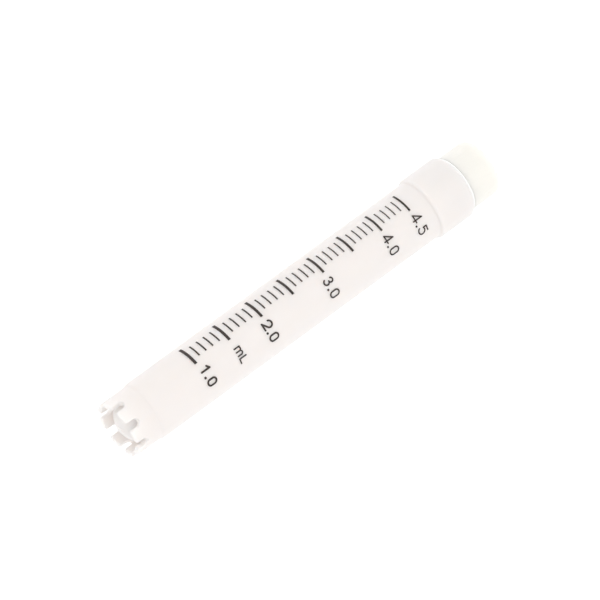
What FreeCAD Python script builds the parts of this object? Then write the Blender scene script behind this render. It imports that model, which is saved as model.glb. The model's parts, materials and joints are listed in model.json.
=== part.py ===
"""Self-standing screw-cap vial, about 4.5 mL, with a printed mL scale.

Frame: +Z runs up the vial's axis towards the cap. The origin is the centre of the circle
that the foot's teeth stand on. The scale is printed on the -Y side. Millimetres.
"""

import FreeCAD, Part
import Sketcher
import math
import os
import re

Vector = FreeCAD.Vector
Rotation = FreeCAD.Rotation
Placement = FreeCAD.Placement

# Driving dimensions, in millimetres and degrees.
SIZES = {
    # vial, outside
    "barrelRadius": 6.25,
    "shoulderTop": 6.75,
    "footRadius": 5.98,
    "footTop": 6.1,
    "footWall": 1.05,
    "footEdge": 0.35,
    "gapTop": 2.7,
    "domeRadius": 5.2,
    "domeCentre": 5.6,
    "collarRadius": 6.75,
    "collarBase": 77.6,
    "collarStep": 0.45,
    "collarEdge": 1.0,
    "rimHeight": 86.1,
    # vial, inside: a slightly tapered bore with a round bottom and a wider neck
    "boreBottomRadius": 4.24,
    "boreTopRadius": 4.755,
    "boreCentre": 5.65,
    "neckRadius": 5.12,
    "neckShoulder": 77.3,
    "neckBase": 77.9,
    "neckLead": 0.2,
    # star foot
    "toothCount": 8,
    "notchHalfWidth": 0.85,
    "notchHeight": 2.4,
    "tipRound": 0.5,
    "notchStart": 4.4,
    "notchDepth": 2.2,
    "firstNotchAngle": 7.5,
    # screw thread: a trapezoid ridge on the plug, and a wider groove in the neck
    "threadPitch": 3.0,
    "ridgeBase": 79.4,
    "ridgeRise": 3.75,
    "ridgeRadius": 5.5,
    "ridgeHalfRoot": 0.7,
    "ridgeHalfCrest": 0.3,
    "grooveRadius": 5.66,
    "flankGap": 0.16,
    "grooveLead": 30.0,
    # cap
    "plugRadius": 5.0,
    "plugBore": 3.75,
    "plugEnd": 78.4,
    "plugChamfer": 0.4,
    "headRadius": 6.0,
    "headTop": 93.5,
    "headEdge": 1.3,
    "headFoot": 0.15,
    "recessRadius": 4.1,
    "recessDepth": 0.8,
    "capWeb": 1.4,
    "fluteCount": 40,
    "fluteRadius": 0.35,
    "fluteDepth": 0.05,
    "fluteBase": 87.2,
    "fluteLength": 4.7,
    # silicone seal between the rim and the cap head
    "sealInner": 5.06,
    "sealOuter": 6.0,
    "sealThickness": 0.4,
    # printed scale
    "inkThickness": 0.04,
    "firstVolume": 1.0,
    "firstMark": 18.55,
    "markCentreAngle": -36.8,
    "longMarkAngle": 46.0,
    "tickAngle": 28.0,
    "longMarkWidth": 0.62,
    "tickWidth": 0.33,
    "digitHeight": 2.33,
    "digitStroke": 0.39,
    "digitStartAngle": 3.6,
    "unitHeight": 1.85,
    "unitStroke": 0.3,
    "unitStartAngle": 12.1,
    # the print leans a little round the barrel as it climbs, and its lines get finer
    "printLean": 0.077,
    "lineTaper": 0.006,
    "strokeTaper": 0.0052,
}

doc = FreeCAD.newDocument("ScrewCapVial")
sheet = doc.addObject("Spreadsheet::Sheet", "Sizes")
for row, (alias, number) in enumerate(SIZES.items(), start=1):
    sheet.set(f"A{row}", alias)
    sheet.set(f"B{row}", str(number))
    sheet.setAlias(f"B{row}", alias)
doc.recompute()


def formula(text):
    """A size formula, such as "rimHeight + sealThickness", as an expression on the sheet."""
    return re.sub(r"[A-Za-z]\w*", lambda word: "Sizes." + word[0], text)


def value(text):
    """The number that a size formula gives now."""
    return float(sheet.evalExpression(formula(text)))


def origin_plane(body, role):
    return next(f for f in body.Origin.OriginFeatures if f.Role == role)


def new_body(name):
    body = doc.addObject("PartDesign::Body", name)
    body.Label = name
    return body


def new_sketch(body, name, role, offset=None):
    sketch = body.newObject("Sketcher::SketchObject", name)
    sketch.AttachmentSupport = [(origin_plane(body, role), "")]
    sketch.MapMode = "FlatFace"
    if offset:
        sketch.AttachmentOffset = offset
    return sketch


def fix_point(sketch, geometry, point, place):
    """Binds a sketch point's two coordinates to size formulas; None leaves one free."""
    for kind, text in zip(("DistanceX", "DistanceY"), place):
        if text is None:
            continue
        start = (-1, 1, geometry, point)
        number = sketch.addConstraint(Sketcher.Constraint(kind, *start, value(text)))
        sketch.setExpression(f"Constraints[{number}]", formula(text))


def outline(sketch, corners, arcs=()):
    """Draws a closed outline through corners, each two size formulas (x, y).

    arcs maps the number of the corner that an arc starts from to its centre and its turn:
    "ccw" or "cw". The corner that ends an arc keeps one coordinate free, given as a pair
    (formula, "free"), because the arc already fixes it.
    """
    arcs = dict(arcs)
    free = [tuple(isinstance(c, tuple) for c in corner) for corner in corners]
    texts = [tuple(c[0] if isinstance(c, tuple) else c for c in corner) for corner in corners]
    points = [Vector(value(x), value(y), 0) for x, y in texts]
    count = len(corners)
    ends = []
    for n in range(count):
        a, b = points[n], points[(n + 1) % count]
        if n in arcs:
            (cx, cy), turn = arcs[n]
            centre = Vector(value(cx), value(cy), 0)
            first, last = (a, b) if turn == "ccw" else (b, a)
            angles = [math.atan2(p.y - centre.y, p.x - centre.x) for p in (first, last)]
            circle = Part.Circle(centre, Vector(0, 0, 1), (a - centre).Length)
            geometry = sketch.addGeometry(Part.ArcOfCircle(circle, *angles), False)
            ends.append((geometry, 1, 2) if turn == "ccw" else (geometry, 2, 1))
        else:
            geometry = sketch.addGeometry(Part.LineSegment(a, b), False)
            ends.append((geometry, 1, 2))
    for n in range(count):
        this, following = ends[n], ends[(n + 1) % count]
        joint = (this[0], this[2], following[0], following[1])
        sketch.addConstraint(Sketcher.Constraint("Coincident", *joint))
    for n in range(count):
        place = [None if loose else t for t, loose in zip(texts[n], free[n])]
        fix_point(sketch, ends[n][0], ends[n][1], place)
    for n, ((cx, cy), _) in arcs.items():
        fix_point(sketch, ends[n][0], 3, (cx, cy))


def revolve(body, sketch, name):
    feature = body.newObject("PartDesign::Revolution", name)
    feature.Profile = sketch
    feature.ReferenceAxis = (sketch, ["V_Axis"])
    feature.Angle = 360.0
    doc.recompute()
    return feature


def polar_pattern(body, feature, name, count):
    pattern = body.newObject("PartDesign::PolarPattern", name)
    pattern.Originals = [feature]
    pattern.Axis = (origin_plane(body, "Z_Axis"), [""])
    pattern.Angle = 360.0
    pattern.setExpression("Occurrences", formula(count))
    body.Tip = pattern
    doc.recompute()
    return pattern


def turned(angle, shift=0.0):
    """An offset that turns a sketch on the XZ plane about the vial's axis, then shifts it out."""
    turn = Rotation(Vector(0, 1, 0), angle)
    return Placement(turn.multVec(Vector(0, 0, shift)), turn)


def check_cut(body, before, name):
    if body.Shape.Volume > before - 0.01:
        raise RuntimeError(f"{name} removed nothing")


# Vial: barrel, round bottom, foot skirt and collar, turned in one profile with the bore.
def build_vial():
    body = new_body("vial_body")
    profile = new_sketch(body, "VialProfile", "XZ_Plane")
    skirt_inner = "footRadius - footWall"
    dome_edge = math.sqrt(value("domeRadius") ** 2 - value("domeCentre - gapTop") ** 2)
    corners = [
        ("0", "domeCentre - domeRadius"),
        ((str(dome_edge), "free"), "gapTop"),
        (skirt_inner, "gapTop"),
        (skirt_inner, "0"),
        ("footRadius - footEdge", "0"),
        (("footRadius", "free"), "footEdge"),
        ("footRadius", "footTop"),
        ("barrelRadius", "shoulderTop"),
        ("barrelRadius", "collarBase - collarStep"),
        ("collarRadius", "collarBase"),
        ("collarRadius", "rimHeight - collarEdge"),
        ("collarRadius - collarEdge", ("rimHeight", "free")),
        ("neckRadius + neckLead", "rimHeight"),
        ("neckRadius", "rimHeight - neckLead"),
        ("neckRadius", "neckBase"),
        ("boreTopRadius", "neckShoulder"),
        ("boreBottomRadius", "boreCentre"),
        ("0", ("boreCentre - boreBottomRadius", "free")),
    ]
    arcs = {
        0: (("0", "domeCentre"), "ccw"),
        4: (("footRadius - footEdge", "footEdge"), "ccw"),
        10: (("collarRadius - collarEdge", "rimHeight - collarEdge"), "ccw"),
        16: (("0", "boreCentre"), "cw"),
    }
    outline(profile, corners, arcs)
    revolve(body, profile, "VialTurned")

    # One arched notch between two teeth, cut from the gap round the dome outwards.
    notch = new_sketch(
        body, "NotchProfile", "XZ_Plane", turned(value("firstNotchAngle"), value("notchStart"))
    )
    flare = "(notchHalfWidth + tipRound)"
    arch = "notchHeight - notchHalfWidth"
    outline(
        notch,
        [
            (f"-{flare}", "-1"),
            (flare, "-1"),
            (flare, "0"),
            (("notchHalfWidth", "free"), "tipRound"),
            ("notchHalfWidth", arch),
            (("-notchHalfWidth", "free"), arch),
            ("-notchHalfWidth", "tipRound"),
            (f"-{flare}", ("0", "free")),
        ],
        {
            2: ((flare, "tipRound"), "cw"),
            4: (("0", arch), "ccw"),
            6: ((f"-{flare}", "tipRound"), "cw"),
        },
    )
    before = body.Shape.Volume
    pocket = body.newObject("PartDesign::Pocket", "Notch")
    pocket.Profile = notch
    pocket.Type = "Length"
    pocket.setExpression("Length", formula("notchDepth"))
    pocket.Reversed = True
    doc.recompute()
    check_cut(body, before, "the notch")
    polar_pattern(body, pocket, "Notches", "toothCount")

    # The neck's thread groove starts a little before the plug's ridge and runs out of the rim.
    groove = new_sketch(body, "GrooveProfile", "XZ_Plane", turned(-value("grooveLead")))
    base = "(ridgeBase - threadPitch * grooveLead / 360)"
    root = "(ridgeHalfRoot + flankGap)"
    crest = "(ridgeHalfCrest + flankGap)"
    outline(
        groove,
        [
            ("neckRadius - 0.1", f"{base} - {root}"),
            ("grooveRadius", f"{base} - {crest}"),
            ("grooveRadius", f"{base} + {crest}"),
            ("neckRadius - 0.1", f"{base} + {root}"),
        ],
    )
    before = body.Shape.Volume
    cut = body.newObject("PartDesign::SubtractiveHelix", "NeckThread")
    cut.Profile = groove
    cut.ReferenceAxis = (origin_plane(body, "Z_Axis"), [""])
    cut.Mode = "pitch-height-angle"
    cut.setExpression("Pitch", formula("threadPitch"))
    cut.setExpression("Height", formula(f"rimHeight - {base} + threadPitch / 2"))
    cut.Angle = 0
    cut.Growth = 0
    cut.LeftHanded = False
    cut.Reversed = False
    doc.recompute()
    check_cut(body, before, "the neck thread")
    body.Tip = cut
    return body


# Cap: a fluted head with a shallow round recess, on a hollow plug with the thread's ridge.
def build_cap():
    body = new_body("screw_cap")
    profile = new_sketch(body, "CapProfile", "XZ_Plane")
    head_base = "(rimHeight + sealThickness)"
    floor = "headTop - recessDepth"
    corners = [
        ("plugBore", "plugEnd"),
        ("plugRadius - plugChamfer", "plugEnd"),
        ("plugRadius", "plugEnd + plugChamfer"),
        ("plugRadius", head_base),
        ("headRadius - headFoot", head_base),
        ("headRadius", f"{head_base} + headFoot"),
        ("headRadius", "headTop - headEdge"),
        ("headRadius - headEdge", ("headTop", "free")),
        ("recessRadius", "headTop"),
        ("recessRadius", floor),
        ("0", floor),
        ("0", f"{floor} - capWeb"),
        ("plugBore", f"{floor} - capWeb"),
    ]
    outline(
        profile,
        corners,
        {6: (("headRadius - headEdge", "headTop - headEdge"), "ccw")},
    )
    revolve(body, profile, "CapTurned")

    ridge = new_sketch(body, "RidgeProfile", "XZ_Plane")
    outline(
        ridge,
        [
            ("plugRadius - 0.1", "ridgeBase - ridgeHalfRoot"),
            ("ridgeRadius", "ridgeBase - ridgeHalfCrest"),
            ("ridgeRadius", "ridgeBase + ridgeHalfCrest"),
            ("plugRadius - 0.1", "ridgeBase + ridgeHalfRoot"),
        ],
    )
    before = body.Shape.Volume
    thread = body.newObject("PartDesign::AdditiveHelix", "PlugThread")
    thread.Profile = ridge
    thread.ReferenceAxis = (origin_plane(body, "Z_Axis"), [""])
    thread.Mode = "pitch-height-angle"
    thread.setExpression("Pitch", formula("threadPitch"))
    thread.setExpression("Height", formula("ridgeRise"))
    thread.Angle = 0
    thread.Growth = 0
    thread.LeftHanded = False
    thread.Reversed = False
    doc.recompute()
    if body.Shape.Volume < before + 1:
        raise RuntimeError("the plug's thread added nothing")

    flute = new_sketch(
        body, "FluteProfile", "XY_Plane", Placement(Vector(0, 0, value("fluteBase")), Rotation())
    )
    ring = "headRadius + fluteRadius - fluteDepth"
    circle = Part.Circle(Vector(value(ring), 0, 0), Vector(0, 0, 1), value("fluteRadius"))
    flute.addGeometry(circle, False)
    size = flute.addConstraint(Sketcher.Constraint("Radius", 0, value("fluteRadius")))
    flute.setExpression(f"Constraints[{size}]", formula("fluteRadius"))
    fix_point(flute, 0, 3, (ring, "0"))
    before = body.Shape.Volume
    pocket = body.newObject("PartDesign::Pocket", "Flute")
    pocket.Profile = flute
    pocket.Type = "Length"
    pocket.setExpression("Length", formula("fluteLength"))
    pocket.Reversed = True
    doc.recompute()
    check_cut(body, before, "the flute")
    polar_pattern(body, pocket, "Flutes", "fluteCount")
    return body


# Seal: a flat silicone ring on the plug, between the rim and the head.
def build_seal():
    body = new_body("seal_ring")
    profile = new_sketch(body, "SealProfile", "XZ_Plane")
    top = "rimHeight + sealThickness"
    outline(
        profile,
        [
            ("sealInner", "rimHeight"),
            ("sealOuter", "rimHeight"),
            ("sealOuter", top),
            ("sealInner", top),
        ],
    )
    revolve(body, profile, "SealTurned")
    return body


def bore_radius(height):
    low, high = value("boreCentre"), value("neckShoulder")
    share = (height - low) / (high - low)
    return value("boreBottomRadius") + share * value("boreTopRadius - boreBottomRadius")


def height_of(millilitres):
    """Where the bore has taken the given volume more than it holds at the first mark."""
    slope = value("(boreTopRadius - boreBottomRadius) / (neckShoulder - boreCentre)")
    added = 1000 * (millilitres - value("firstVolume"))
    start = bore_radius(value("firstMark"))
    radius = (start**3 + 3 * slope * added / math.pi) ** (1 / 3)
    return value("firstMark") + (radius - start) / slope


def lean(height):
    """How far the print has leant round the barrel at a height, in degrees."""
    return value("printLean") * (height - value("firstMark"))


def thinned(width, taper, height):
    """A printed width at a height: the print gets finer as it climbs."""
    return value(width) * (1 - value(taper) * (height - value("firstMark")))


def print_band(angle, width, height):
    """One printed line: a thin band of ink on the barrel, centred on the scale."""
    radius = value("barrelRadius")
    outer = radius + value("inkThickness")
    width = thinned(width, "lineTaper", height)
    low = height - width / 2
    band = Part.makeCylinder(outer, width, Vector(0, 0, low), Vector(0, 0, 1), angle)
    band = band.cut(Part.makeCylinder(radius, width, Vector(0, 0, low)))
    start = value("markCentreAngle") + lean(height) - 90 - angle / 2
    band.rotate(Vector(), Vector(0, 0, 1), start)
    return band


def scale_node(name, shapes):
    node = doc.addObject("Part::Feature", name)
    node.Label = name
    node.Shape = Part.makeCompound(shapes)
    node.Placement = Placement()
    return node


def build_lines():
    long_marks, ticks = [], []
    for tenth in range(10, 46):
        height = height_of(tenth / 10)
        if tenth % 5 == 0:
            long_marks.append(print_band(value("longMarkAngle"), "longMarkWidth", height))
        else:
            ticks.append(print_band(value("tickAngle"), "tickWidth", height))
    return scale_node("scale_long_marks", long_marks), scale_node("scale_short_ticks", ticks)


def line(*points):
    return Part.makePolygon([Vector(x, 0, z) for x, z in points])


def arc(x, z, radius, start, end):
    """An arc about (x, z) in the XZ plane, from start to end in degrees, clockwise."""
    places = [
        Vector(x + radius * math.cos(math.radians(a)), 0, z + radius * math.sin(math.radians(a)))
        for a in (start, (start + end) / 2, end)
    ]
    return Part.Arc(*places).toShape()


def glyph(character, tall, pen):
    """(the glyph's pen paths on the XZ plane, its advance), with its baseline at z = 0."""
    top, low = tall - pen / 2, pen / 2
    side = 0.30 * tall  # half the width of a digit's pen path
    middle = 0.54 * tall
    step = 0.79 * tall  # a digit's advance
    upper, under = (top - middle) / 2, (middle - low) / 2
    if character == ".":
        dot = 0.025 * tall
        corners = (-dot, low), (-dot, low + 2 * dot), (dot, low + 2 * dot), (dot, low)
        return [line(*corners)], 0.41 * tall
    if character == "0":
        side = bend = 0.265 * tall
        paths = [
            arc(0, top - bend, bend, 180, 0),
            line((side, top - bend), (side, low + bend)),
            arc(0, low + bend, bend, 0, -180),
            line((-side, low + bend), (-side, top - bend)),
        ]
        return paths, step
    if character == "1":
        stem = 0.06 * tall
        return [line((stem - 0.24 * tall, 0.74 * tall), (stem, top), (stem, low))], step
    if character == "2":
        bend = side * 0.97
        last = math.radians(-38)
        turn = (bend * math.cos(last), top - bend + bend * math.sin(last))
        paths = [arc(0, top - bend, bend, 165, -38), line(turn, (-side, low), (side, low))]
        return paths, step
    if character == "3":
        paths = [arc(0, middle + upper, upper, 160, -90), arc(0, low + under, under, 90, -160)]
        return paths, step
    if character == "4":
        stem, bar = 0.13 * tall, 0.27 * tall
        return [line((stem, low), (stem, top), (-side * 1.1, bar), (side * 1.15, bar))], step
    if character == "5":
        bend = 0.31 * tall
        first = math.radians(128)
        join = (bend * math.cos(first), low + bend + bend * math.sin(first))
        paths = [
            line((side * 0.85, top), (-side * 0.62, top), join),
            arc(0, low + bend, bend, 128, -155),
        ]
        return paths, step
    if character == "m":
        lane, height = 0.43 * tall, 0.74 * tall
        bend = lane / 2
        paths = [line((-lane, height), (-lane, low))]
        for x in (0, lane):
            paths.append(arc(x - bend, height - bend, bend, 180, 0))
            paths.append(line((x, height - bend), (x, low)))
        return paths, 1.22 * tall
    if character == "L":
        return [line((-0.24 * tall, top), (-0.24 * tall, low), (0.30 * tall, low))], 0.79 * tall
    raise ValueError(character)


def inked(path, width):
    """The area that a round pen covers along a path, as a solid that reaches past the ink."""
    pen = width / 2
    reach = 1.0
    middle = value("barrelRadius")
    solids = []
    for edge in path.Edges:
        if edge.Curve.TypeId == "Part::GeomLine":
            a, b = edge.Vertexes[0].Point, edge.Vertexes[-1].Point
            along = b - a
            slab = Part.makeBox(along.Length, 2 * reach, 2 * pen, Vector(0, -reach, -pen))
            turn = -math.degrees(math.atan2(along.z, along.x))
            slab.rotate(Vector(), Vector(0, 1, 0), turn)
            slab.translate(a)
            solids.append(slab)
        else:
            centre, radius = edge.Curve.Center, edge.Curve.Radius
            foot = centre - Vector(0, reach, 0)
            ring = Part.makeCylinder(radius + pen, 2 * reach, foot, Vector(0, 1, 0))
            ring = ring.cut(Part.makeCylinder(radius - pen, 2 * reach, foot, Vector(0, 1, 0)))
            solids.append(ring.common(wedge(edge, centre, reach)))
        for vertex in (edge.Vertexes[0], edge.Vertexes[-1]):
            foot = vertex.Point - Vector(0, reach, 0)
            solids.append(Part.makeCylinder(pen, 2 * reach, foot, Vector(0, 1, 0)))
    shape = solids[0].multiFuse(solids[1:]).removeSplitter()
    shape.translate(Vector(0, -middle, 0))
    return shape


def wedge(edge, centre, reach):
    """The fan from an arc's centre that holds the arc and nothing else of its circle."""
    steps = 12
    span = edge.LastParameter - edge.FirstParameter
    rim = [
        centre + (edge.valueAt(edge.FirstParameter + span * n / steps) - centre) * 1.6
        for n in range(steps + 1)
    ]
    fan = Part.Face(Part.makePolygon([centre, *rim, centre]))
    fan.translate(Vector(0, -reach, 0))
    return fan.extrude(Vector(0, 2 * reach, 0))


# Each label's volume, and how far its middle stands above that volume's mark.
LABELS = {
    "1.0": (1.0, 0.75),
    "mL": (1.5, 0.28),
    "2.0": (2.0, -0.13),
    "3.0": (3.0, -0.36),
    "4.0": (4.0, 0.06),
    "4.5": (4.5, 0.25),
}


def build_numerals():
    radius = value("barrelRadius")
    skin = Part.makeCylinder(radius + value("inkThickness"), value("rimHeight"))
    skin = skin.cut(Part.makeCylinder(radius, value("rimHeight")))
    shapes = []
    for text, (volume, lift) in LABELS.items():
        kind = "unit" if text == "mL" else "digit"
        tall = value(f"{kind}Height")
        height = height_of(volume)
        pen = thinned(f"{kind}Stroke", "strokeTaper", height)
        angle = value(f"{kind}StartAngle") + lean(height)
        last = None
        for character in text:
            paths, advance = glyph(character, tall, pen)
            if last is not None:
                angle += math.degrees((advance + last) / 2 / radius)
            last = advance
            letter = inked(paths[0], pen)
            for path in paths[1:]:
                letter = letter.fuse(inked(path, pen))
            letter.translate(Vector(0, 0, height + lift - tall / 2))
            letter.rotate(Vector(), Vector(0, 0, 1), angle)
            shapes.append(skin.common(letter).removeSplitter())
    return scale_node("scale_numerals", shapes)


nodes = [build_vial(), build_cap(), build_seal(), *build_lines(), build_numerals()]
doc.recompute()

for item in doc.Objects:
    if "Invalid" in item.State or "Error" in item.State:
        raise RuntimeError(f"{item.Name} failed: {item.State}")
os.makedirs("parts", exist_ok=True)
for node in nodes:
    if node.Shape.isNull() or not node.Shape.isValid():
        raise RuntimeError(f"{node.Label} has no valid shape")
    node.Shape.exportStep(f"parts/{node.Label}.step")
    box = node.Shape.BoundBox
    print(
        f"{node.Label}: {len(node.Shape.Solids)} solids, {node.Shape.Volume:.2f} mm3,"
        f" z {box.ZMin:.2f} to {box.ZMax:.2f}"
    )
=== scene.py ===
import json
import math
import bmesh
import bpy
from mathutils import Matrix, Vector


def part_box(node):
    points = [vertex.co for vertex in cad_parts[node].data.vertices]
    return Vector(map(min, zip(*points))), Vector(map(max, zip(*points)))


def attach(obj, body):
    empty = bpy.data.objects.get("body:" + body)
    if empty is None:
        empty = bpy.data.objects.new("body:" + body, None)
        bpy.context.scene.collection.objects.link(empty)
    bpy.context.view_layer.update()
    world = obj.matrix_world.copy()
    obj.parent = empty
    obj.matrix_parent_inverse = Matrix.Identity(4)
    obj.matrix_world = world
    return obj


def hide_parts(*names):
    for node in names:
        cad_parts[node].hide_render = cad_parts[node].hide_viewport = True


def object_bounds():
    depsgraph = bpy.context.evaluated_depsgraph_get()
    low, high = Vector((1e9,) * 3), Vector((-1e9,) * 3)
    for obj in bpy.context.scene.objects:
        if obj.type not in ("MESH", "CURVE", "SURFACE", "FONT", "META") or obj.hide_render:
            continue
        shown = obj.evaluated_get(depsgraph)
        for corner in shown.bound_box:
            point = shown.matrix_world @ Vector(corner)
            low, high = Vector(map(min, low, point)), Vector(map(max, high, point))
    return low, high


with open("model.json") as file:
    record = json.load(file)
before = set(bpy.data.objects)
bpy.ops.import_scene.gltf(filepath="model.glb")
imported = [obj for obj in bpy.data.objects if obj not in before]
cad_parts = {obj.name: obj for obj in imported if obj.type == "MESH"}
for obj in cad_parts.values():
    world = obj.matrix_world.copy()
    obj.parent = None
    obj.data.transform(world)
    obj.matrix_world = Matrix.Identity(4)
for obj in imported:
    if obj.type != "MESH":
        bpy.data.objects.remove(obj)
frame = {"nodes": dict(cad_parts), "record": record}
cad_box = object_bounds()

# ---- Vial ----------------------------------------------------------------------------------
# One injection moulding in natural polypropylene: barrel, round bottom, a skirt cut into eight
# teeth that it stands on, and a collar with the screw thread inside. The tool leaves a satin
# skin all over and a gate mark under the round bottom.
MM = 0.001
COLUMNS = 128  # faces round the vial: sixteen to a tooth and its notch

rack_fit = next(mount for mount in frame["record"]["mounts"] if mount["name"] == "barrel")["dims"]
vial_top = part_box("vial_body")[1]
BARREL = rack_fit["r_mm"]
COLLAR = vial_top[0] / MM
RIM = vial_top[2] / MM
SHOULDER = 6.75
COLLAR_FOOT = SHOULDER + rack_fit["length_mm"]
COLLAR_STEP = 0.45  # height of the slope under the collar

FOOT = 5.98
FOOT_TOP = 6.1
FOOT_WALL = 1.05
TEETH = 8
FIRST_NOTCH = math.radians(7.5)
NOTCH_HALF = 0.85
NOTCH_TOP = 2.4
TOOTH_CORNER = 0.5
TOOTH_EDGE = 0.22
SKIRT_JOIN = 2.55  # where the bent skirt meets the turned part

DOME = 5.2  # radius of the round bottom, seen from below
DOME_CENTRE = 5.6
DOME_TOP = 2.7
GATE = 0.8
GATE_END = 0.3

BORE_FLOOR = 1.41
BORE_BOTTOM = 4.24  # the bore widens a little towards the neck
BORE_TOP = 4.755
BORE_TOP_HEIGHT = 77.3

NECK = 5.12
NECK_FOOT = 77.9
GROOVE = 5.66
MOUTH = 5.74  # where the collar's inside meets its rim
PITCH = 3.0
THREAD_START = 79.4  # height of the thread's middle on the +X side
JOIN = 0.05  # height of the band that joins a thread to the turned part
SHARP_ANGLE = math.radians(32)  # edges that turn further than this look crisp


def section(bm, points):
    """Draws a line through points on the XZ plane, in millimetres; returns verts and edges.

    A point is (x, z), or (x, z, reach) where the corner is rounded from that far each side.
    """
    before = set(bm.verts)
    corners = [bm.verts.new((point[0], 0, point[1])) for point in points]
    for pair in zip(corners, corners[1:]):
        bm.edges.new(pair)
    for corner, point in zip(corners, points):
        if len(point) == 3:
            bmesh.ops.bevel(
                bm, geom=[corner], offset=point[2], offset_type="OFFSET", affect="VERTICES",
                segments=max(4, round(4 * point[2])), profile=0.5, material=-1,
                clamp_overlap=False,
            )
    verts = [vert for vert in bm.verts if vert not in before]
    return verts, list({edge for vert in verts for edge in vert.link_edges})


def arc_corner(centre, radius, first, last):
    """The corner, and its reach, that round off to an arc about (0, centre), in radians."""
    reach = radius * math.tan((last - first) / 2)
    x = radius * math.cos(first) - reach * math.sin(first)
    z = centre - radius * math.sin(first) - reach * math.cos(first)
    return x, z, reach


def turn(bm, points, columns, start):
    """Turns a section once about the Z axis, from the angle start."""
    verts, edges = section(bm, points)
    bmesh.ops.rotate(bm, verts=verts, cent=(0, 0, 0), matrix=Matrix.Rotation(start, 3, "Z"))
    bmesh.ops.spin(
        bm, geom=verts + edges, cent=(0, 0, 0), axis=(0, 0, 1), angle=2 * math.pi,
        steps=columns, use_merge=True,
    )


def threaded_wall(bm, wall, crest, root_half, crest_half, low, high, span, fade, columns, start):
    """A round wall from low to high whose thread runs over span turns, fading at its ends.

    The thread stands from the wall's radius to the crest's. Its halves of width, root_half and
    crest_half, are measured along the axis. The section of the whole wall is swept up one pitch
    as it turns once, so every row follows the thread. Returns the wall's two end loops, the
    lower one first.
    """
    begin = THREAD_START + PITCH * start / (2 * math.pi)
    lowest = math.floor((low - PITCH - THREAD_START) / PITCH) - 1
    highest = math.ceil((high - THREAD_START) / PITCH) + 1
    points = []
    for number in range(lowest, highest + 1):
        middle = begin + number * PITCH
        points += [(wall, middle - root_half), (crest, middle - crest_half),
                   (crest, middle + crest_half), (wall, middle + root_half)]
    verts, edges = section(bm, points)
    bmesh.ops.rotate(bm, verts=verts, cent=(0, 0, 0), matrix=Matrix.Rotation(start, 3, "Z"))
    bmesh.ops.spin(
        bm, geom=verts + edges, cent=(0, 0, 0), axis=(0, 0, 1), dvec=(0, 0, PITCH / columns),
        angle=2 * math.pi, steps=columns,
    )
    bmesh.ops.remove_doubles(bm, verts=bm.verts[:], dist=0.002)
    for vert in bm.verts:
        radius = math.hypot(vert.co.x, vert.co.y)
        angle = math.atan2(vert.co.y, vert.co.x) / (2 * math.pi)
        turns = (vert.co.z - THREAD_START) / PITCH
        along = angle + round(turns - angle)
        strength = min(1, max(0, min(along - span[0], span[1] - along) / fade))
        scale = (wall + (radius - wall) * strength * strength * (3 - 2 * strength)) / radius
        vert.co.x *= scale
        vert.co.y *= scale
    loops = []
    for height, upward in ((low, 1), (high, -1)):
        cut = bmesh.ops.bisect_plane(
            bm, geom=bm.verts[:] + bm.edges[:] + bm.faces[:], dist=0.0001,
            plane_co=(0, 0, height), plane_no=(0, 0, upward), clear_inner=True,
        )
        loops.append([item for item in cut["geom_cut"] if isinstance(item, bmesh.types.BMEdge)])
    return loops


def ring(bm, radius, height):
    """The open loop of edges at a radius and a height."""
    return [
        edge for edge in bm.edges
        if edge.is_boundary and all(
            abs(v.co.z - height) < 0.001 and abs(math.hypot(v.co.x, v.co.y) - radius) < 0.001
            for v in edge.verts
        )
    ]


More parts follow.
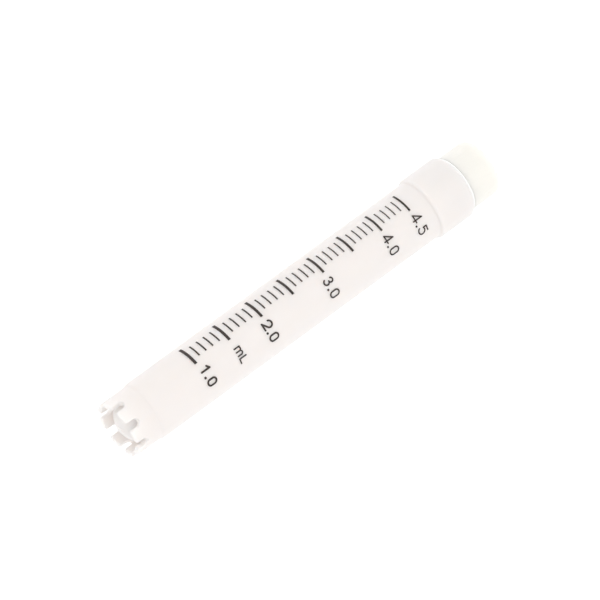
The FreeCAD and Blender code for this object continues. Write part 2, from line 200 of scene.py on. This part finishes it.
def foot_skirt():
    """The toothed skirt: one notch cut in a flat strip, rounded, bent and repeated."""
    bm = bmesh.new()
    half = math.pi * FOOT / TEETH
    corners = [
        bm.verts.new((x, 0, z)) for x, z in (
            (-half, 0), (-NOTCH_HALF, 0), (-NOTCH_HALF, NOTCH_TOP), (NOTCH_HALF, NOTCH_TOP),
            (NOTCH_HALF, 0), (half, 0), (half, SKIRT_JOIN), (-half, SKIRT_JOIN))
    ]
    bm.faces.new(corners)
    # The notch ends almost in a half circle, and the teeth have softly rounded corners.
    notch_roof, tooth_corners = corners[2:4], [corners[1], corners[4]]
    for pair, reach, segments in (
        (notch_roof, NOTCH_HALF * 0.98, 8), (tooth_corners, TOOTH_CORNER, 5),
    ):
        bmesh.ops.bevel(
            bm, geom=pair, offset=reach, offset_type="OFFSET", affect="VERTICES",
            segments=segments, profile=0.5, material=-1, clamp_overlap=False,
        )
    front = bm.faces[:]
    thick = bmesh.ops.extrude_face_region(bm, geom=front, use_keep_orig=True)
    back = [item for item in thick["geom"] if isinstance(item, bmesh.types.BMVert)]
    bmesh.ops.translate(bm, verts=back, vec=(0, FOOT_WALL, 0))
    bmesh.ops.recalc_face_normals(bm, faces=bm.faces[:])
    rims = [
        edge for edge in bm.edges
        if abs(edge.verts[0].co.y - edge.verts[1].co.y) < 0.001
        and max(v.co.z for v in edge.verts) < SKIRT_JOIN - 0.01
    ]
    bmesh.ops.bevel(
        bm, geom=rims, offset=TOOTH_EDGE, offset_type="OFFSET", affect="EDGES", segments=4,
        profile=0.5, material=-1, clamp_overlap=True,
    )
    ends = [
        face for face in bm.faces
        if all(abs(abs(v.co.x) - half) < 0.001 for v in face.verts)
        or all(abs(v.co.z - SKIRT_JOIN) < 0.001 for v in face.verts)
    ]
    bmesh.ops.delete(bm, geom=ends, context="FACES")
    # The strip is cut into the turned part's columns, so that it bends evenly and they meet.
    per_tooth = COLUMNS // TEETH
    for number in range(1, per_tooth):
        bmesh.ops.bisect_plane(
            bm, geom=bm.verts[:] + bm.edges[:] + bm.faces[:], dist=0.0001,
            plane_co=(half * (2 * number / per_tooth - 1), 0, 0), plane_no=(1, 0, 0),
        )
    for vert in bm.verts:
        angle = vert.co.x / FOOT + FIRST_NOTCH
        radius = FOOT - vert.co.y
        vert.co.x, vert.co.y = radius * math.cos(angle), radius * math.sin(angle)
    bmesh.ops.spin(
        bm, geom=bm.verts[:] + bm.edges[:] + bm.faces[:], cent=(0, 0, 0), axis=(0, 0, 1),
        angle=2 * math.pi * (TEETH - 1) / TEETH, steps=TEETH - 1, use_duplicate=True,
    )
    mesh = bpy.data.meshes.new("foot skirt")
    bm.to_mesh(mesh)
    bm.free()
    return mesh


def finished(bm, name):
    """Closes the seams, turns the faces outwards and makes the object, in metres."""
    bmesh.ops.remove_doubles(bm, verts=bm.verts[:], dist=0.003)
    bmesh.ops.recalc_face_normals(bm, faces=bm.faces[:])
    bmesh.ops.scale(bm, verts=bm.verts[:], vec=(MM, MM, MM))
    for face in bm.faces:
        face.smooth = True
    mesh = bpy.data.meshes.new(name)
    bm.to_mesh(mesh)
    bm.free()
    mesh.set_sharp_from_angle(angle=SHARP_ANGLE)
    piece = bpy.data.objects.new(name, mesh)
    bpy.context.scene.collection.objects.link(piece)
    return piece


def vial_moulding():
    """The threaded collar, then the outside, underside and bore, joined to the foot skirt."""
    bm = bmesh.new()
    foot, top = threaded_wall(
        bm, wall=NECK, crest=GROOVE, root_half=0.8, crest_half=0.46, low=NECK_FOOT, high=RIM,
        span=(-30 / 360, 9), fade=0.07, columns=COLUMNS, start=FIRST_NOTCH,
    )
    outside = [
        (FOOT, SKIRT_JOIN), (FOOT, FOOT_TOP, 0.3), (BARREL, SHOULDER, 0.3),
        (BARREL, COLLAR_FOOT, 0.2), (COLLAR, COLLAR_FOOT + COLLAR_STEP, 0.3),
        (COLLAR, RIM, 1.0), (MOUTH, RIM),
    ]
    turn(bm, outside, COLUMNS, FIRST_NOTCH)
    dome_start = math.asin((DOME_CENTRE - DOME_TOP) / DOME)
    dome_end = math.acos(GATE / DOME)
    gate_height = DOME_CENTRE - DOME * math.sin(dome_end)
    underside = [
        (FOOT - FOOT_WALL, SKIRT_JOIN), (FOOT - FOOT_WALL, DOME_TOP),
        (DOME * math.cos(dome_start), DOME_TOP),
        arc_corner(DOME_CENTRE, DOME, dome_start, dome_end),
        (GATE, gate_height), (GATE - 0.05, GATE_END, 0.08),
        (GATE / 2, GATE_END - 0.04, 0.08), (0, GATE_END),
    ]
    turn(bm, underside, COLUMNS, FIRST_NOTCH)
    bore = [
        (NECK, NECK_FOOT - JOIN), (BORE_TOP, BORE_TOP_HEIGHT, 0.15),
        (BORE_BOTTOM, BORE_FLOOR, BORE_BOTTOM - 0.03), (0, BORE_FLOOR),
    ]
    turn(bm, bore, COLUMNS, FIRST_NOTCH)
    bmesh.ops.bridge_loops(bm, edges=foot + ring(bm, NECK, NECK_FOOT - JOIN))
    bmesh.ops.bridge_loops(bm, edges=top + ring(bm, MOUTH, RIM))
    bm.from_mesh(foot_skirt())
    return finished(bm, "vial_moulding")


def linear(hex_colour):
    """An sRGB hex colour, such as "F6F1ED", as the linear RGBA that a shader takes."""
    channels = [int(hex_colour[n:n + 2], 16) / 255 for n in (0, 2, 4)]
    return [c / 12.92 if c <= 0.04045 else ((c + 0.055) / 1.055) ** 2.4 for c in channels] + [1.0]


def add_node(tree, kind, settings=None, **inputs):
    """Adds a node with its settings. An input takes a value, or an output to link from.

    An input is named with underscores for spaces, or by its number, as in _6.
    """
    node = tree.nodes.new(kind)
    for name, setting in (settings or {}).items():
        setattr(node, name, setting)
    for name, given in inputs.items():
        key = int(name[1:]) if name[0] == "_" else name.replace("_", " ")
        socket = node.inputs[key]
        if isinstance(given, bpy.types.NodeSocket):
            tree.links.new(given, socket)
        else:
            socket.default_value = given
    return node


def new_material(name):
    """An empty material; returns it and its node tree."""
    material = bpy.data.materials.new(name)
    material.use_nodes = True
    material.node_tree.nodes.clear()
    return material, material.node_tree


def natural_polypropylene():
    """Natural polypropylene from a satin mould: milky, faintly warm, with a waxy soft gloss.

    The wall passes and scatters light, so the eye gets a pale glow that is a little deeper
    where the plastic is thick or doubled.
    """
    material, tree = new_material("natural polypropylene, satin moulded")
    place = add_node(tree, "ShaderNodeTexCoord").outputs["Object"]
    # Flow: the melt runs up the wall and freezes in streaks about 3 mm wide and 30 mm long.
    streaks = add_node(tree, "ShaderNodeMapping", Vector=place,
                       Scale=(1 / (3 * MM), 1 / (3 * MM), 1 / (30 * MM)))
    flow = add_node(tree, "ShaderNodeTexNoise", Vector=streaks.outputs[0], Scale=1.0,
                    Detail=2.0, Roughness=0.5)
    tone = add_node(tree, "ShaderNodeMix", {"data_type": "RGBA"}, Factor=flow.outputs["Fac"],
                    _6=linear("F2ECE8"), _7=linear("F1ECEA"))
    # Skin: the tool's eroded grain is about 0.03 mm, drawn at 0.12 mm so that it shows.
    grain = add_node(tree, "ShaderNodeTexNoise", Vector=place, Scale=1 / (0.12 * MM),
                     Detail=2.0, Roughness=0.6)
    # Rubbing in racks and boxes dulls the skin in patches about 4 mm across.
    rubbed = add_node(tree, "ShaderNodeTexNoise", Vector=place, Scale=1 / (4 * MM), Detail=5.0,
                      Roughness=0.65)
    gloss = add_node(tree, "ShaderNodeMapRange", Value=rubbed.outputs["Fac"], _1=0.35, _2=0.7,
                     _3=0.30, _4=0.40)
    relief = add_node(tree, "ShaderNodeBump", Height=grain.outputs["Fac"], Strength=0.25,
                      Distance=0.006 * MM)
    waves = add_node(tree, "ShaderNodeBump", Height=flow.outputs["Fac"], Strength=0.3,
                     Distance=0.05 * MM, Normal=relief.outputs[0])
    shader = add_node(
        tree, "ShaderNodeBsdfPrincipled", Base_Color=tone.outputs[2], Roughness=gloss.outputs[0],
        IOR=1.49, Transmission_Weight=0.2, Subsurface_Weight=1.0,
        Subsurface_Radius=(1.0, 0.95, 0.9), Subsurface_Scale=1.5 * MM, Normal=waves.outputs[0],
    )
    depth = add_node(tree, "ShaderNodeVolumeAbsorption", Color=linear("F0E4DE"), Density=15.0)
    add_node(tree, "ShaderNodeOutputMaterial", Surface=shader.outputs[0], Volume=depth.outputs[0])
    return material


vial = vial_moulding()
vial.data.materials.append(natural_polypropylene())
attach(vial, "vial")
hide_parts("vial_body")

# ---- Printed scale -------------------------------------------------------------------------
# Marks for each tenth of a millilitre, with numbers, pad-printed on the barrel in one pass of
# warm black ink. The ink is a thin semi-matt skin with a fine grain, like the plastic under it.


def pad_print_ink():
    """Two-part pad-print ink: warm black, semi-matt, thinner where the pad left less."""
    material, tree = new_material("pad-print ink, warm black")
    place = add_node(tree, "ShaderNodeTexCoord").outputs["Object"]
    # The pad leaves the ink uneven in patches about 0.6 mm across.
    patches = add_node(tree, "ShaderNodeTexNoise", Vector=place, Scale=1 / (0.6 * MM), Detail=3.0,
                       Roughness=0.6)
    tone = add_node(tree, "ShaderNodeMix", {"data_type": "RGBA"}, Factor=patches.outputs["Fac"],
                    _6=linear("1A110D"), _7=linear("33261E"))
    grain = add_node(tree, "ShaderNodeTexNoise", Vector=place, Scale=1 / (0.1 * MM), Detail=2.0)
    relief = add_node(tree, "ShaderNodeBump", Height=grain.outputs["Fac"], Strength=0.3,
                      Distance=0.005 * MM)
    shader = add_node(tree, "ShaderNodeBsdfPrincipled", Base_Color=tone.outputs[2],
                      Roughness=0.42, IOR=1.5, Normal=relief.outputs[0])
    add_node(tree, "ShaderNodeOutputMaterial", Surface=shader.outputs[0])
    return material


ink = pad_print_ink()
for name in ("scale_long_marks", "scale_short_ticks", "scale_numerals"):
    frame["nodes"][name].material_slots[0].material = ink

# ---- Seal ----------------------------------------------------------------------------------
# A flat ring of translucent silicone on the cap's plug, squeezed between the rim and the head.
# It is moulded, with softly rounded edges.
seal_low, seal_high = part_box("seal_ring")
SEAL_INNER = 5.06


def seal_moulding():
    """A flat ring; its section starts and ends at the middle of the inner face."""
    outer, low, high = seal_high[0] / MM, seal_low[2] / MM, seal_high[2] / MM
    middle_height = (low + high) / 2
    bm = bmesh.new()
    outline = [
        (SEAL_INNER, middle_height), (SEAL_INNER, low, 0.06), (outer, low, 0.12),
        (outer, high, 0.12), (SEAL_INNER, high, 0.06), (SEAL_INNER, middle_height),
    ]
    turn(bm, outline, COLUMNS, 0)
    return finished(bm, "seal_moulding")


def translucent_silicone():
    """Moulded silicone rubber: cloudy white, soft-looking, with a dull sheen."""
    material, tree = new_material("silicone rubber, translucent")
    place = add_node(tree, "ShaderNodeTexCoord").outputs["Object"]
    bloom = add_node(tree, "ShaderNodeTexNoise", Vector=place, Scale=1 / (0.5 * MM), Detail=3.0)
    tone = add_node(tree, "ShaderNodeMix", {"data_type": "RGBA"}, Factor=bloom.outputs["Fac"],
                    _6=linear("FCFAF7"), _7=linear("FEFCFA"))
    relief = add_node(tree, "ShaderNodeBump", Height=bloom.outputs["Fac"], Strength=0.2,
                      Distance=0.01 * MM)
    shader = add_node(
        tree, "ShaderNodeBsdfPrincipled", Base_Color=tone.outputs[2], Roughness=0.5, IOR=1.41,
        Subsurface_Weight=1.0, Subsurface_Radius=(1.0, 1.0, 1.0), Subsurface_Scale=0.3 * MM,
        Normal=relief.outputs[0],
    )
    add_node(tree, "ShaderNodeOutputMaterial", Surface=shader.outputs[0])
    return material


seal = seal_moulding()
seal.data.materials.append(translucent_silicone())
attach(seal, "seal")
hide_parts("seal_ring")

# ---- Screw cap -----------------------------------------------------------------------------
# One polypropylene moulding: a head with forty fine grip flutes and a shallow recess on top,
# over a hollow plug whose thread screws into the collar. It was fed through the gate mark in
# the middle of the recess.
cap_low, cap_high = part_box("screw_cap")
CAP_COLUMNS = 240  # six to a flute
FLUTES = 40
FLUTE_DEPTH = 0.05
FLUTE_FADE = 0.4
HEAD = 6.0
RECESS = 4.1
RECESS_DEPTH = 0.8
WEB = 1.4  # thickness between the recess and the plug's hollow
CAP_GATE = 0.9
CAP_GATE_HEIGHT = 0.12
PLUG = 5.0
PLUG_BORE = 3.75
PLUG_CHAMFER = 0.4
SEAM = 0.02  # half the height of the band that joins the plug's end to its thread
RIDGE = 5.5


def cap_moulding():
    """The threaded plug, then its hollow end and the fluted head."""
    plug_end, head_foot, head_top = cap_low[2] / MM, seal_high[2] / MM, cap_high[2] / MM
    floor = head_top - RECESS_DEPTH
    bm = bmesh.new()
    lower, upper = threaded_wall(
        bm, wall=PLUG, crest=RIDGE, root_half=0.68, crest_half=0.3,
        low=plug_end + PLUG_CHAMFER + SEAM, high=head_foot - 2 * JOIN, span=(0, 1.25), fade=0.06,
        columns=CAP_COLUMNS, start=0,
    )
    plug = [
        (PLUG - SEAM, plug_end + PLUG_CHAMFER - SEAM), (PLUG - PLUG_CHAMFER, plug_end, 0.1),
        (PLUG_BORE, plug_end, 0.15), (PLUG_BORE, floor - WEB, 0.6), (0, floor - WEB),
    ]
    turn(bm, plug, CAP_COLUMNS, 0)
    flute_foot, flute_top = head_foot + 0.7, head_top - 1.7
    head = [
        (PLUG, head_foot - JOIN), (PLUG, head_foot, 0.04), (HEAD, head_foot, 0.2),
        (HEAD, flute_foot), (HEAD, flute_foot + FLUTE_FADE),
        (HEAD, flute_top - FLUTE_FADE), (HEAD, flute_top),
        (HEAD, head_top, 1.3), (RECESS, head_top, 0.15), (RECESS, floor, 0.2),
        (CAP_GATE, floor, 0.05), (CAP_GATE - 0.1, floor + CAP_GATE_HEIGHT, 0.06),
        (0, floor + CAP_GATE_HEIGHT),
    ]
    turn(bm, head, CAP_COLUMNS, 0)
    for vert in bm.verts:
        fluted = flute_foot + 0.01 < vert.co.z < flute_top - 0.01
        if fluted and math.hypot(*vert.co.xy) > HEAD - 0.01:
            angle = math.atan2(vert.co.y, vert.co.x)
            sink = (0.5 - 0.5 * math.cos(FLUTES * angle)) ** 2
            scale = 1 - FLUTE_DEPTH * sink / HEAD
            vert.co.x *= scale
            vert.co.y *= scale
    plug_ring = ring(bm, PLUG - SEAM, plug_end + PLUG_CHAMFER - SEAM)
    bmesh.ops.bridge_loops(bm, edges=lower + plug_ring)
    bmesh.ops.bridge_loops(bm, edges=upper + ring(bm, PLUG, head_foot - JOIN))
    return finished(bm, "cap_moulding")


def cap_polypropylene():
    """Polypropylene of a cap moulding: less pink and denser than the vial, with a soft satin."""
    material, tree = new_material("polypropylene, cap moulding")
    place = add_node(tree, "ShaderNodeTexCoord").outputs["Object"]
    cloud = add_node(tree, "ShaderNodeTexNoise", Vector=place, Scale=1 / (5 * MM), Detail=3.0)
    tone = add_node(tree, "ShaderNodeMix", {"data_type": "RGBA"}, Factor=cloud.outputs["Fac"],
                    _6=linear("F1EEE8"), _7=linear("F0EEE8"))
    # The tool's grain, about 0.03 mm, drawn at 0.12 mm so that it shows.
    grain = add_node(tree, "ShaderNodeTexNoise", Vector=place, Scale=1 / (0.12 * MM), Detail=2.0,
                     Roughness=0.6)
    # Fingers polish the grip in patches about 3 mm across.
    handled = add_node(tree, "ShaderNodeTexNoise", Vector=place, Scale=1 / (3 * MM), Detail=4.0)
    gloss = add_node(tree, "ShaderNodeMapRange", Value=handled.outputs["Fac"], _1=0.35, _2=0.7,
                     _3=0.32, _4=0.42)
    relief = add_node(tree, "ShaderNodeBump", Height=grain.outputs["Fac"], Strength=0.25,
                      Distance=0.006 * MM)
    shader = add_node(
        tree, "ShaderNodeBsdfPrincipled", Base_Color=tone.outputs[2], Roughness=gloss.outputs[0],
        IOR=1.49, Transmission_Weight=0.15, Subsurface_Weight=1.0,
        Subsurface_Radius=(1.0, 1.0, 1.0), Subsurface_Scale=1.5 * MM, Normal=relief.outputs[0],
    )
    add_node(tree, "ShaderNodeOutputMaterial", Surface=shader.outputs[0])
    return material


cap = cap_moulding()
cap.data.materials.append(cap_polypropylene())
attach(cap, "cap")
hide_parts("screw_cap")

# ---- Studio --------------------------------------------------------------------------------
# A bright white sweep all round, so that the milky plastic is lit through as well as on its
# face, and a pale matt floor far enough down to leave the view from below clear. A tall softbox
# favours the printed side, and a small one under the foot lights the skirt's inside.
FLOOR_DROP = 1.2
FLOOR_HALF = 3.0
SWEEP_STRENGTH = 1.24  # a little over 1, so that the background is pure white
middle = (Vector(cad_box[0]) + Vector(cad_box[1])) / 2


def white_sweep():
    """An even white world, shown without a film curve."""
    world = bpy.data.worlds.new("white sweep")
    bpy.context.scene.world = world
    world.use_nodes = True
    background = world.node_tree.nodes["Background"]
    background.inputs["Color"].default_value = linear("FFFFFF")
    background.inputs["Strength"].default_value = SWEEP_STRENGTH
    bpy.context.scene.view_settings.view_transform = "Standard"


def pale_floor():
    """A square of matt white board."""
    bm = bmesh.new()
    bmesh.ops.create_grid(bm, x_segments=1, y_segments=1, size=FLOOR_HALF)
    bmesh.ops.translate(bm, verts=bm.verts[:], vec=(0, 0, -FLOOR_DROP))
    mesh = bpy.data.meshes.new("floor")
    bm.to_mesh(mesh)
    bm.free()
    floor = bpy.data.objects.new("floor", mesh)
    bpy.context.scene.collection.objects.link(floor)
    material, tree = new_material("matt white board")
    shader = add_node(tree, "ShaderNodeBsdfPrincipled", Base_Color=linear("FAFAFA"),
                      Roughness=0.8)
    add_node(tree, "ShaderNodeOutputMaterial", Surface=shader.outputs[0])
    mesh.materials.append(material)


def softbox(toward, distance, width, height, power):
    """A rectangular lamp at a distance towards one side, facing the vial's middle."""
    light = bpy.data.lights.new("softbox", "AREA")
    light.shape = "RECTANGLE"
    light.size = width
    light.size_y = height
    light.energy = power
    lamp = bpy.data.objects.new("softbox", light)
    bpy.context.scene.collection.objects.link(lamp)
    lamp.location = middle + toward.normalized() * distance
    lamp.rotation_euler = toward.to_track_quat("Z", "Y").to_euler()


white_sweep()
pale_floor()
softbox(Vector((0.377, -0.847, 0.375)), distance=0.8, width=0.3, height=1.2, power=0.5)
softbox(Vector((-0.1, -0.25, -0.96)), distance=0.5, width=0.2, height=0.2, power=0.06)

# ---- Camera --------------------------------------------------------------------------------
# A long lens that looks up at the printed side from a little below, rolled so that the vial
# climbs across the picture from lower left to upper right.
TILT = math.radians(22.0)
ROLL = math.radians(36.15)
DISTANCE = 1.0598
ASIDE, ABOVE = 0.455 * MM, 0.795 * MM

forward = Vector((0, math.cos(TILT), math.sin(TILT)))
along = Vector((0, -math.sin(TILT), math.cos(TILT)))
across = Vector((1, 0, 0))
right = along * math.cos(ROLL) + across * math.sin(ROLL)
up = along * math.sin(ROLL) - across * math.cos(ROLL)

lens = bpy.data.cameras.new("camera")
lens.lens = 330
lens.sensor_width = 36
camera = bpy.data.objects.new("camera", lens)
bpy.context.scene.collection.objects.link(camera)
spot = middle - forward * DISTANCE - right * ASIDE - up * ABOVE
facing = Matrix((right, up, -forward)).transposed().to_4x4()
camera.matrix_world = Matrix.Translation(spot) @ facing
bpy.context.scene.camera = camera
